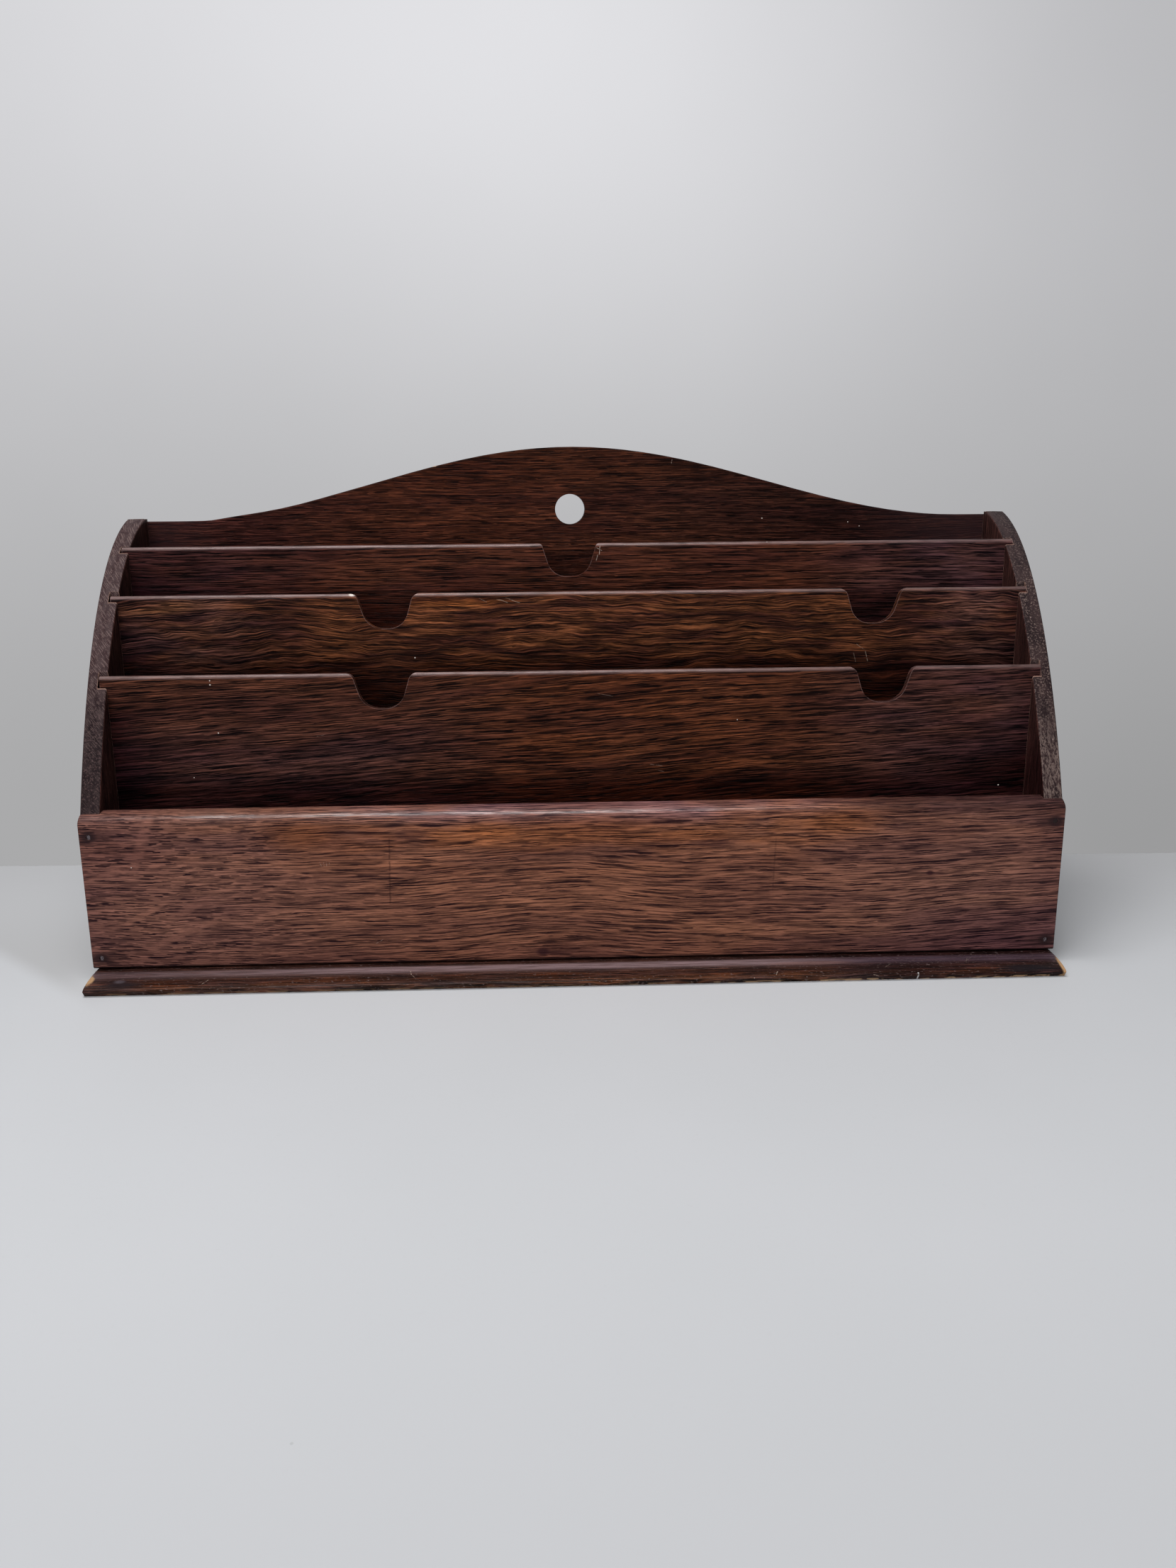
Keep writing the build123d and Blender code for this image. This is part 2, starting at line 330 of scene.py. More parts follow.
# %% Group: rubbed edges
def make_rubbed_edges():
    given = start_group(
        "Rubbed edges", {"Board": NOWHERE, "Width": 0.4, "Amount": 0.5, "Break Length": 9.0},
        {"Mask": "Float"})
    softened = add_node("Bevel", {"Radius": given["Width"] * MM}, samples=6)
    true_normal = add_node("NewGeometry", output="Normal")
    agree = add_node("VectorMath", {0: softened, 1: true_normal}, "Value", operation="DOT_PRODUCT")
    edge = fade(agree, 0.995, 0.80)
    broken = noise(scaled(given["Board"], 1.0 / given["Break Length"]), 3.0, 0.65)
    limit = 0.78 - given["Amount"] * 0.5
    finish_group(Mask=edge * fade(broken - limit, -0.05, 0.10))


make_rubbed_edges()

# %% [markdown]
# ## Specks
# Decades on a desk leave pin-head specks of paint and dust. Each cell of a coarse Voronoi lattice may
# hold one small light dot.

# %% Group: specks
def make_specks():
    given = start_group(
        "Specks", {"Board": NOWHERE, "Cell": 14.0, "Radius": 0.3, "Share": 0.3}, {"Mask": "Float"})
    distance, (chance, dot_size, _) = cells(scaled(given["Board"], 1.0 / given["Cell"]), "Distance", "3D")
    radius = given["Radius"] * (dot_size + 0.4)
    dot = fade(distance * given["Cell"] / radius, 0.7, 1.2, 1.0, 0.0)
    finish_group(Mask=dot * maths("LESS_THAN", chance, given["Share"]))


make_specks()

# %% [markdown]
# ## Scratches
# A scratch is a thin line between two points, a little shaky and broken where the tool that made it
# skipped. It could be painted on an image. As a group it is told by its start, its turn and its length.

# %% Group: one scratch
def make_scratch():
    given = start_group(
        "Scratch",
        {"U": 0.0, "V": 0.0, "From U": 0.0, "From V": 0.0, "Turn": 0.0, "Length": 10.0, "Width": 0.3},
        {"Mask": "Float"})
    du = given["U"] - given["From U"]
    dv = given["V"] - given["From V"]
    cosine = maths("COSINE", given["Turn"])
    sine = maths("SINE", given["Turn"])
    run = du * cosine + dv * sine
    shake = noise(combine(run / 3.0, given["From U"]), 2.0)
    off = dv * cosine - du * sine + (shake * 0.6 - 0.3)
    line = fade(abs(off) / given["Width"], 0.25, 0.75, 1.0, 0.0)
    ends = fade(abs(run / given["Length"] - 0.5), 0.36, 0.5, 1.0, 0.0)
    skips = fade(noise(combine(run / 1.3, given["From V"])), 0.36, 0.52, 0.15, 1.0)
    finish_group(Mask=line * ends * skips)


make_scratch()

# %% [markdown]
# ## Marks
# A mark sits at one place on one board. Each is a mask that is 1 on the mark and fades to 0 around it,
# worked out from two of the board's own coordinates in millimetres, so it moves with its board.

# %% Helpers for marks
SPECK_WHITE = (0.62, 0.55, 0.50)
PALE_SCRATCH = (0.34, 0.24, 0.20)


def spot(u, v, centre, half_u, half_v, soft=0.5):
    """A soft oval."""
    du = (u - centre[0]) / half_u
    dv = (v - centre[1]) / half_v
    return fade(maths("SQRT", du ** 2.0 + dv ** 2.0), 1.0 - soft, 1.0 + soft, 1.0, 0.0)


def turned(u, v, angle):
    """Coordinates along and across a direction."""
    return u * cos(angle) + v * sin(angle), v * cos(angle) + u * -sin(angle)


def band(u, v, start, end, width):
    """A soft straight band from one point to another."""
    run, rise = end[0] - start[0], end[1] - start[1]
    du = u - (start[0] + end[0]) / 2
    dv = v - (start[1] + end[1]) / 2
    return spot(*turned(du, dv, atan2(rise, run)), (0.0, 0.0), hypot(run, rise) / 2, width / 2, 0.4)


def cloud(u, v, length, height, seed=0.0):
    """Slow noise over a face, from 0 to 1."""
    return noise(combine(u / length, v / height, seed), 2.0)


def scratches(colour, u, v, tone, lines):
    """Several scratches in one tone. Each line is a start, an end, a width and a strength."""
    for start, end, width, strength in lines:
        run, rise = end[0] - start[0], end[1] - start[1]
        mask = place_group("Scratch", U=u, V=v, From_U=start[0], From_V=start[1], Turn=atan2(rise, run),
                           Length=hypot(run, rise), Width=width)["Mask"]
        colour = lay(colour, mask * strength, tone)
    return colour


def dots(colour, u, v, places):
    """Single white specks. Each is a place and a radius."""
    for centre, radius in places:
        colour = lay(colour, spot(u, v, centre, radius, radius, 0.3), SPECK_WHITE)
    return colour


print("marks ready")

# %% [markdown]
# ## A board's material
# Each board material starts the same way: the board's own coordinates, the stained oak, rubbed arrises
# and specks. What only one board has comes in between. The gloss is an old satin varnish. Most of it has
# dulled, and only where hands or dusters run along an edge it still has its shine.

# %% Base of every oak material
SPECK_SHARE = 0.2
WOOD_ROUGHNESS, PORE_ROUGHNESS = 0.42, 0.18
PORE_DEPTH = 0.10
DULL_VARNISH = 0.03


def start_material(name):
    """Puts a new material on the bench. Gives it, its shader and its object coordinates in millimetres."""
    material = bpy.data.materials.new(name)
    material.use_nodes = True
    Wire.bench = material.node_tree
    shader = next(n for n in Wire.bench.nodes if n.type == "BSDF_PRINCIPLED")
    return material, shader, scaled(add_node("TexCoord", output="Object"), 1.0 / MM)


def fill_all(node, sockets):
    """Fills several sockets of one node."""
    for label, value in sockets.items():
        fill(node.inputs[label], value)


def oak_board(name, axes, rub, marks, figure=None, shine=None, **oak):
    """One board's material. The axes run along the grain, across it and through the thickness. Marks
    change its colour, figure bends its grain and shine gives it varnish."""
    material, shader, place = start_material(name)
    x, y, z = split(place)
    board = combine(*({"x": x, "y": y, "z": z}[axis] for axis in axes))
    wood = place_group("Stained oak", **{"Board": board, **oak, **(figure(x, y, z) if figure else {})})
    colour = marks(wood["Color"], x, y, z)
    width, amount, tone, strength = rub
    rubbed = place_group("Rubbed edges", Board=board, Width=width, Amount=amount)["Mask"]
    colour = lay(colour, rubbed * strength, tone)
    colour = lay(colour, place_group("Specks", Board=board, Share=SPECK_SHARE)["Mask"], SPECK_WHITE)
    varnish = shine(x, y, z) + DULL_VARNISH if shine else DULL_VARNISH
    kept = 1.0 - highest(rubbed, wood["Pores"]) * 0.7
    bump = {"Strength": 1.0, "Distance": PORE_DEPTH * MM, "Height": wood["Height"]}
    fill_all(shader, {
        "Base Color": colour, "Roughness": wood["Pores"] * PORE_ROUGHNESS + WOOD_ROUGHNESS,
        "Specular IOR Level": 0.06, "Coat Weight": kept * varnish, "Coat Roughness": 0.3,
        "Normal": add_node("Bump", bump)})
    return material


def dress(material, *names):
    """Gives a material to CAD nodes."""
    for name in names:
        slots = boards[name].data.materials
        slots.clear()
        slots.append(material)
    print(material.name, "on", ", ".join(names))


def limits(name):
    """The lowest and highest corner of a CAD node in millimetres."""
    low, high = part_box(name)
    return low / MM, high / MM


print("oak base ready")

# %% [markdown]
# ## The front board
# It is the lightest board, reddish brown under its varnish, with dark dashes every millimetre or two. At
# its left end the saw cut across the rays: the dashes are short there, and faint smooth bands rise to the
# right across them. At the right end the lines climb. The ends and the lower edge are dark with handling.
# Hands have kept the rounded top edge shiny, except near its right end, and a painted sheen tints its
# middle mauve grey. A painted shadow line runs along its foot, above the gap to the base.

# %% Front board: its grain
front_low, front_high = limits("front_board")
RAY_BANDS = (((-197.0, 43.5), (-177.0, 50.5), 2.8), ((-180.0, 46.0), (-171.0, 70.0), 4.5),
             ((-202.0, 21.0), (-185.0, 24.5), 4.0), ((-188.0, 23.0), (-166.0, 34.5), 2.2),
             ((-169.0, 25.5), (-143.0, 39.0), 3.6), ((-176.0, 14.0), (-145.0, 27.0), 2.8))


def ray_bands(x, z):
    """Smooth bands near the left end, where the saw cut along the rays."""
    mask = highest(*(band(x, z, start, end, width) for start, end, width in RAY_BANDS))
    return mask * fade(cloud(x, z, 5.0, 1.4, 2.0), 0.35, 0.55, 0.20, 0.62)


def front_figure(x, y, z):
    patches = fade(cloud(x, z, 24.0, 6.0, 1.0), 0.48, 0.54) * fade(x, -140.0, -80.0, 1.0, 0.0)
    short = highest(fade(x, -166.0, -138.0, 1.0, 0.0), patches)
    climb = highest(x - 105.0, 0.0) ** 2.0 * -0.0004
    hump = spot(x, z, (-14.0, 30.0), 34.0, 26.0, 0.8) * -4.0
    return {"Short": short, "Calm": ray_bands(x, z), "Board": combine(x, climb + z + hump, y)}


print("ray bands:", len(RAY_BANDS))

# %% Front board: its marks
PORE_BLACK = (0.0160, 0.0058, 0.0068)
IRON_BLACK, IRON_BROWN = (0.014, 0.007, 0.009), (0.030, 0.014, 0.014)
KNOT_BLACK, GAP_PAINTED_SHADOW = (0.030, 0.010, 0.012), (0.010, 0.005, 0.006)
GOLDEN, DULLED, RAY_LIGHT = (1.22, 1.0, 0.62), (0.90, 1.01, 1.26), (1.14, 1.12, 1.10)
HANDLED, HANDLED_CORNER = (0.60, 0.55, 0.70), (0.70, 0.66, 0.86)
TOP_PAINTED_SHEEN, TOP_CORNER = (1.06, 1.26, 2.1), (0.40, 0.38, 0.44)
NAILS = [(x, z) for x in (-196.0, 196.0) for z in (10.0, 61.6)]
WARM_SPOTS = (((-111.0, 61.0), 14.0), ((-35.0, 61.5), 16.0), ((2.0, 65.0), 34.0), ((106.0, 63.5), 17.0))
FRONT_KNOTS = (((145.3, 40.4), 1.5, 0.9, 0.95), ((147.4, 39.9), 4.0, 0.6, 0.6),
               ((-15.0, 9.2), 2.4, 1.7, 0.85), ((-11.0, 8.6), 7.0, 0.9, 0.6),
               ((-67.5, 60.5), 6.0, 2.2, 0.5), ((56.0, 55.0), 8.0, 2.2, 0.5))
FRONT_LINES = (((-76.2, 61.0), (-77.2, 29.0), 0.7, 0.5), ((81.0, 58.0), (80.0, 32.0), 0.7, 0.3))
FRONT_SCRATCHES = (
    ((-104.8, 49.9), (-104.0, 47.4), 0.22, 0.5), ((-103.2, 49.6), (-103.1, 47.6), 0.2, 0.4),
    ((-102.0, 50.0), (-102.0, 47.6), 0.22, 0.5), ((-100.9, 49.5), (-100.9, 48.0), 0.2, 0.4),
    ((12.0, 9.4), (24.0, 8.9), 0.25, 0.4), ((-84.0, 14.0), (-80.5, 16.0), 0.25, 0.4))


def nail_stains(colour, x, z):
    """Iron darkens oak: each nail has a small black halo, drawn out along the grain."""
    for nail in NAILS:
        colour = lay(colour, spot(x, z, nail, 3.0, 2.1, 0.4) * 0.92, IRON_BLACK)
        colour = lay(colour, spot(x, z, nail, 8.0, 2.6, 0.8) * 0.6, IRON_BROWN)
    return colour


def front_marks(colour, x, y, z):
    slow = cloud(x, z, 40.0, 9.0, 4.0)
    warm = (fade(slow, 0.40, 0.62) * fade(z, front_high.z - 34.0, front_high.z - 6.0)
            * fade(abs(x), 60.0, 150.0, 0.75, 0.2))
    for centre, half_x in WARM_SPOTS:
        warm = highest(warm, spot(x, z, centre, half_x, 6.0, 0.8) * 0.9)
    colour = tint(colour, warm, GOLDEN)
    colour = tint(colour, fade(abs(x), 50.0, 160.0, 0.0, 0.8), DULLED)
    corner = fade(x, 90.0, 150.0) * fade(z, front_high.z - 7.0, front_high.z - 3.0)
    colour = tint(colour, corner, TOP_CORNER)
    # Painted sheen: a mauve grey tint along the middle of the rounded top edge stands in for its highlight.
    colour = tint(colour, spot(x, z, (5.0, front_high.z), 80.0, 6.5, 0.6), TOP_PAINTED_SHEEN)
    handled = highest(fade(front_high.x - abs(x), 0.0, 26.0, 0.55, 0.0),
                      fade(z, front_low.z, front_low.z + 13.0, 0.6, 0.0),
                      spot(x, z, (-188.0, 58.0), 24.0, 16.0, 0.9) * 0.7)
    colour = tint(colour, handled * fade(slow, 0.30, 0.60, 0.6, 1.0), HANDLED)
    colour = tint(colour, ray_bands(x, z), RAY_LIGHT)
    colour = tint(colour, spot(x, z, (186.0, 10.0), 46.0, 12.0, 0.8), HANDLED_CORNER)
    colour = nail_stains(colour, x, z)
    # Painted shadow: a black line along the foot of the board, where the gap above the base lies in shade.
    colour = lay(colour, fade(z, front_low.z + 0.3, front_low.z + 1.1, 0.85, 0.0), GAP_PAINTED_SHADOW)
    for centre, half_x, half_z, strength in FRONT_KNOTS:
        colour = lay(colour, spot(x, z, centre, half_x, half_z) * strength, KNOT_BLACK)
    colour = scratches(colour, x, z, PORE_BLACK, FRONT_LINES)
    return scratches(colour, x, z, PALE_SCRATCH, FRONT_SCRATCHES)


print("nail stains:", len(NAILS), "knots:", len(FRONT_KNOTS))

# %% Front board: its material
def front_shine(x, y, z):
    top = fade(z, front_high.z - 6.5, front_high.z - 3.0)
    patchy = (fade(cloud(x, z, 26.0, 3.0, 8.0), 0.34, 0.56, 0.5, 1.0)
              * fade(cloud(x, z, 7.0, 0.7, 2.0), 0.36, 0.56, 0.5, 1.1))
    return top * fade(x, 70.0, 130.0, 1.0, 0.1) * fade(x, -190.0, -150.0, 0.45, 1.0) * patchy


dress(oak_board(
    "front oak", "xzy", (0.5, 0.45, (0.36, 0.19, 0.14), 0.6), front_marks, front_figure, front_shine,
    Seed=1.0, Wander=2.6, Wander_Length=85.0, Ripple=0.5, Ripple_Length=16.0, Fibre_Strength=0.44,
    Line_Strength=0.70, Light=(0.266, 0.108, 0.063), Middle=(0.190, 0.076, 0.049), Dark=PORE_BLACK),
    "front_board")

# %% [markdown]
# ## The dividers
# The three dividers are thin and darker. Each has its own tree: fine straight fibres that climb to the
# right in front, wild wavy figure in the middle, quiet regular lines in the rear one. A purple grey haze
# lies on their ends, where fingers rarely rub. Painted shade darkens their ends beside the side boards
# and their lower parts behind the board in front. Their rounded top edges are polished pale by letters,
# and the pale line there is partly a painted highlight.

# %% What the dividers share
DIVIDER_BLACK = (0.0030, 0.0010, 0.0010)
PURPLE = (0.74, 0.95, 1.75)
# A pale tone for rubbed arrises, also used for the partly painted highlight along the divider tops.
POLISHED_WEAR_AND_SHEEN = (0.26, 0.165, 0.155)
DIVIDER_RUB = (0.55, 0.75, POLISHED_WEAR_AND_SHEEN, 0.65)


def top_wear_and_highlight(colour, x, z, top):
    """The pale line along a divider's rounded top edge: wear from letters, and partly a painted highlight."""
    wear_and_highlight = fade(z, top - 1.7, top - 0.6, 0.0, 0.5) * fade(x, 60.0, 170.0, 1.0, 0.55)
    return lay(colour, wear_and_highlight * fade(cloud(x, z, 9.0, 1.4, 3.0), 0.30, 0.55, 0.45, 1.0), POLISHED_WEAR_AND_SHEEN)


def painted_shade_below(colour, z, start, end, strength=0.85):
    """Painted shade where the board in front hides this one: it is darker below the line of that board's top.
    """
    return tint(colour, fade(z, start, end, strength, 0.0), (0.24, 0.15, 0.19))


def top_shine(top):
    """Varnish shine on the rounded top edge of a divider."""
    return lambda x, y, z: fade(z, top - 2.0, top - 0.8, 0.0, 0.7)


tops = {name: limits(name)[1].z for name in ("front_divider", "middle_divider", "rear_divider")}
print("divider tops in mm:", {name: round(top, 1) for name, top in tops.items()})

# %% Front divider
PURPLE_END, WARMED = (0.98, 1.25, 2.2), (1.16, 1.04, 0.84)
FRONT_SHADED_FOOT, FRONT_SHADED_END = (0.32, 0.22, 0.26), (0.38, 0.28, 0.42)
FRONT_DIVIDER_SPECKS = (((-150.0, 120.4), 0.22), ((-150.0, 118.7), 0.28), ((-148.2, 98.5), 0.26),
                        ((-159.8, 79.7), 0.20), ((181.0, 71.0), 0.28), ((68.0, 101.0), 0.2))
FRONT_DIVIDER_SCRATCHES = (
    ((9.0, 113.0), (16.0, 111.6), 0.22, 0.25), ((-108.0, 96.5), (-104.0, 97.2), 0.22, 0.25),
    ((31.0, 82.5), (37.0, 81.5), 0.25, 0.3), ((33.5, 80.2), (37.5, 79.0), 0.2, 0.25))


def front_divider_marks(colour, x, y, z):
    slow = fade(cloud(x, z, 45.0, 12.0, 2.0), 0.32, 0.62, 0.5, 1.0)
    left = fade(x, -90.0, -20.0, 0.85, 0.0) * fade(z, 86.0, 112.0, 1.0, 0.25) * slow
    colour = tint(colour, left, PURPLE)
    colour = tint(colour, fade(x, 90.0, 150.0) * slow, PURPLE_END)
    colour = tint(colour, fade(abs(x - 25.0), 30.0, 90.0, 1.0, 0.0) * slow, WARMED)
    # Painted shade: darker towards the foot, which the front board shades, and darkest in the lower right
    # corner.
    low = highest(fade(z, 73.0, 84.0, 0.9, 0.0), spot(x, z, (184.0, 73.0), 42.0, 17.0, 0.8))
    colour = tint(colour, low, FRONT_SHADED_FOOT)
    # Painted shade at both ends, where the side boards shade the divider, strongest in the lower left corner.
    end = highest(fade(x, -190.0, -168.0, 0.95, 0.0) * fade(z, 104.0, 119.0, 1.0, 0.0),
                  fade(x, 180.0, 191.0, 0.0, 0.45), spot(x, z, (-190.0, 80.0), 16.0, 26.0, 0.7))
    colour = tint(colour, end, FRONT_SHADED_END)
    colour = dots(colour, x, z, FRONT_DIVIDER_SPECKS)
    curl = spot(x, z, (13.0, 111.0), 9.0, 1.6, 0.7) * 0.7
    colour = lay(colour, curl, DIVIDER_BLACK)
    colour = scratches(colour, x, z, PALE_SCRATCH, FRONT_DIVIDER_SCRATCHES)
    return top_wear_and_highlight(colour, x, z, tops["front_divider"])


dress(oak_board(
    "front divider oak", "xzy", DIVIDER_RUB, front_divider_marks, shine=top_shine(tops["front_divider"]),
    Seed=2.0, Tilt=-0.06, Wander=4.0, Wander_Length=150.0, Ripple=0.4, Ripple_Length=9.0, Short=0.0,
    Line_Strength=0.8, Fibre_Strength=1.1, Light=(0.104, 0.034, 0.0165), Middle=(0.067, 0.021, 0.0125),
    Dark=DIVIDER_BLACK), "front_divider")

# %% Middle divider
LIT, GILDED, RAW_EDGE = (1.35, 1.35, 1.4), (1.9, 1.75, 1.0), (0.42, 0.33, 0.26)
MIDDLE_SHADED_END, MIDDLE_SHADED_FOOT = (0.42, 0.32, 0.46), (0.5, 0.45, 0.5)
MIDDLE_SCRATCHES = (
    ((-32.7, 150.6), (-27.5, 149.0), 0.22, 0.5), ((-29.0, 151.2), (-22.0, 148.6), 0.2, 0.45),
    ((-40.0, 151.0), (-36.5, 149.2), 0.2, 0.3), ((122.5, 129.8), (126.6, 126.8), 0.22, 0.35),
    ((126.6, 126.8), (128.0, 121.6), 0.22, 0.4), ((121.5, 126.0), (122.6, 121.5), 0.2, 0.3))


def middle_figure(x, y, z):
    """Wild wavy lines, and a curl near the left end."""
    curl = spot(x, z, (-124.0, 141.0), 16.0, 12.0, 0.9) * -3.5
    wave = (cloud(x, z, 14.0, 9.0, 6.0) - 0.5) * 2.6
    return {"Board": combine(x, z + curl + wave, y)}


def middle_divider_marks(colour, x, y, z):
    slow = fade(cloud(x, z, 30.0, 10.0, 2.0), 0.32, 0.60, 0.4, 1.0)
    ends = highest(fade(x, -165.0, -100.0, 1.0, 0.0), fade(x, 125.0, 180.0))
    colour = tint(colour, ends * slow, PURPLE)
    # Painted shade at both ends, where the side boards shade the divider.
    edge = highest(fade(x, -190.0, -165.0, 0.7, 0.0) * fade(z, 136.0, 150.0, 1.0, 0.2),
                   fade(x, 182.0, 192.0, 0.0, 0.4))
    colour = tint(colour, edge, MIDDLE_SHADED_END)
    light = highest(fade(x, 135.0, 165.0, 0.0, 0.8) * fade(z, 128.0, 138.0),
                    spot(x, z, (-30.0, 147.0), 60.0, 10.0, 0.9))
    colour = tint(colour, light, LIT)
    gold = highest(spot(x, z, (-48.0, 150.0), 20.0, 2.6, 0.8), spot(x, z, (-176.0, 148.5), 16.0, 3.4, 0.8))
    colour = tint(colour, gold * slow * 0.8, GILDED)
    # Painted shade: darker towards the foot, behind the front divider, and darker still below the line of its
    # top.
    colour = tint(colour, fade(z, 122.0, 132.0, 0.6, 0.0), MIDDLE_SHADED_FOOT)
    colour = painted_shade_below(colour, z, 118.0, 127.0)
    colour = scratches(colour, x, z, RAW_EDGE, MIDDLE_SCRATCHES)
    colour = top_wear_and_highlight(colour, x, z, tops["middle_divider"])
    notch_corner = spot(x, z, (-93.6, 153.0), 1.3, 0.6, 0.4)
    return lay(colour, notch_corner, SPECK_WHITE)


dress(oak_board(
    "middle divider oak", "xzy", DIVIDER_RUB, middle_divider_marks, middle_figure,
    top_shine(tops["middle_divider"]), Seed=3.0, Wander=3.0, Wander_Length=60.0, Ripple=1.1,
    Ripple_Length=14.0, Line_Strength=1.0, Short=0.2, Fibre_Strength=1.4, Patch_Length=30.0,
    Light=(0.145, 0.048, 0.019), Middle=(0.056, 0.017, 0.010), Dark=DIVIDER_BLACK), "middle_divider")

# %% Rear divider
LIT_RIGHT, DIM_LEFT, REAR_SHADED_END = (1.3, 1.45, 1.45), (0.82, 0.80, 0.88), (0.42, 0.34, 0.46)
REAR_SCRATCHES = (((12.6, 172.0), (12.0, 167.5), 0.26, 0.6), ((10.8, 171.0), (13.4, 169.4), 0.22, 0.5),
                  ((11.4, 168.0), (10.8, 165.0), 0.22, 0.5))


def rear_divider_marks(colour, x, y, z):
    slow = fade(cloud(x, z, 30.0, 8.0, 2.0), 0.30, 0.60, 0.5, 1.0)
    ends = highest(fade(x, -160.0, -90.0, 0.6, 0.0), fade(x, 90.0, 170.0))
    colour = tint(colour, ends * slow, PURPLE)
    colour = tint(colour, fade(x, 95.0, 140.0), LIT_RIGHT)
    colour = tint(colour, fade(x, -130.0, -80.0, 1.0, 0.0), DIM_LEFT)
    # Painted shade at both ends, where the side boards shade the divider.
    edge = highest(fade(x, -190.0, -160.0, 0.9, 0.0) * fade(z, 158.0, 168.0, 1.0, 0.3),
                   fade(x, 178.0, 192.0, 0.0, 0.5))
    colour = tint(colour, edge, REAR_SHADED_END)
    # Painted shade below the line of the middle divider's top.
    colour = painted_shade_below(colour, z, 147.0, 156.5)
    colour = scratches(colour, x, z, (0.50, 0.40, 0.34), REAR_SCRATCHES)
    return top_wear_and_highlight(colour, x, z, tops["rear_divider"])


dress(oak_board(
    "rear divider oak", "xzy", DIVIDER_RUB, rear_divider_marks, shine=top_shine(tops["rear_divider"]),
    Seed=4.0, Wander=2.0, Wander_Length=130.0, Ripple=0.5, Width=0.95, Line_Strength=0.8,
    Fibre_Strength=0.9, Light=(0.102, 0.031, 0.016), Middle=(0.064, 0.0185, 0.012), Dark=DIVIDER_BLACK),
    "rear_divider")

# %% [markdown]
# ## The back panel
# The tall back shows only its upper part. Its dashes are short and stand in rows on the shaped top. It is
# warm brown left of the hole, purple at its left end and nearly black towards the right. Painted shade
# darkens it below the line of the rear divider's top.

# %% Back panel
BACK_LEFT, BACK_RIGHT = (0.72, 0.62, 0.95), (0.50, 0.50, 0.64)
BACK_HUMP, BACK_WARM = (0.80, 0.74, 0.66), (1.25, 1.12, 0.98)
HUMP_CHIPS = (((-62.0, 206.7), 1.6, 0.35), ((-58.0, 207.8), 1.0, 0.3))
BACK_SPECKS = (((88.6, 182.3), 0.25), ((128.6, 180.3), 0.22), ((134.0, 178.4), 0.2))


def back_marks(colour, x, y, z):
    slow = fade(cloud(x, z, 40.0, 12.0, 2.0), 0.30, 0.60, 0.6, 1.0)
    colour = tint(colour, fade(x, -165.0, -80.0, 0.9, 0.0) * slow, BACK_LEFT)
    colour = tint(colour, fade(x, 20.0, 110.0) * slow, BACK_RIGHT)
    colour = tint(colour, fade(z, 192.0, 204.0), BACK_HUMP)
    colour = tint(colour, spot(x, z, (-52.0, 192.0), 60.0, 22.0, 0.8), BACK_WARM)
    end = highest(fade(x, 120.0, 185.0, 0.0, 0.6), fade(x, -190.0, -150.0, 0.4, 0.0))
    colour = lay(colour, end, (0.028, 0.014, 0.016))
    # Painted shade below the line of the rear divider's top.
    colour = painted_shade_below(colour, z, 163.0, 174.0, 0.6)
    for centre, half_x, half_z in HUMP_CHIPS:
        colour = lay(colour, spot(x, z, centre, half_x, half_z, 0.4), (0.42, 0.26, 0.16))
    colour = dots(colour, x, z, BACK_SPECKS)
    return scratches(colour, x, z, PALE_SCRATCH, [((46.8, 208.8), (46.4, 207.0), 0.25, 0.6)])


dress(oak_board(
    "back oak", "xzy", (0.5, 0.35, (0.20, 0.12, 0.085), 0.5), back_marks, Seed=5.0, Wander=2.0,
    Wander_Length=90.0, Short=0.7, Line_Strength=1.0, Fibre_Strength=1.0, Light=(0.081, 0.026, 0.014),
    Middle=(0.052, 0.0155, 0.010), Dark=DIVIDER_BLACK), "back_panel")

# %% [markdown]
# ## The sides
# Only the curved front edges of the sides are plain to see, and they show the hardest wear. The left one
# is mauve grey with slanting scuffs and darker below. The right one is nearly black and full of pale
# specks, and its foot is scuffed bare. Their inner faces are reddish brown, and painted shade darkens the
# lower part of the right one's inner face.

# %% What the sides share
SIDE_BLACK = (0.008, 0.004, 0.004)
SIDE_RUB = (0.55, 0.95, (0.34, 0.205, 0.160), 0.8)
SIDE_OAK = dict(Wander=2.0, Wander_Length=90.0, Ripple=0.8, Ripple_Length=12.0, Short=0.5,
                Fibre_Strength=0.8, Light=(0.078, 0.031, 0.026), Middle=(0.044, 0.017, 0.015),
                Dark=SIDE_BLACK)


def is_edge():
    """1 on the curved front edge and the top of a side board, 0 on its two faces."""
    sideways = split(add_node("NewGeometry", output="Normal"))[0]
    return fade(abs(sideways), 0.5, 0.75, 1.0, 0.0)


def grit(x, y, z, size, start, end):
    """Fine grit of light grains, from 0 to 1."""
    return fade(noise(scaled(combine(z, y, x), 1.0 / size), 2.0), start, end)


print("rub width of the sides:", SIDE_RUB[0], "mm")

# %% Left side
LEFT_LOW, LEFT_HIGH = (0.013, 0.008, 0.009), (0.034, 0.018, 0.019)
MAUVE_GREY, SCUFF_GREY = (0.066, 0.044, 0.044), (0.165, 0.115, 0.105)
GRAIN_BROWN, TAN_STRIP = (0.120, 0.074, 0.070), (0.20, 0.125, 0.10)
SCUFF_SLANT = radians(-48.0)


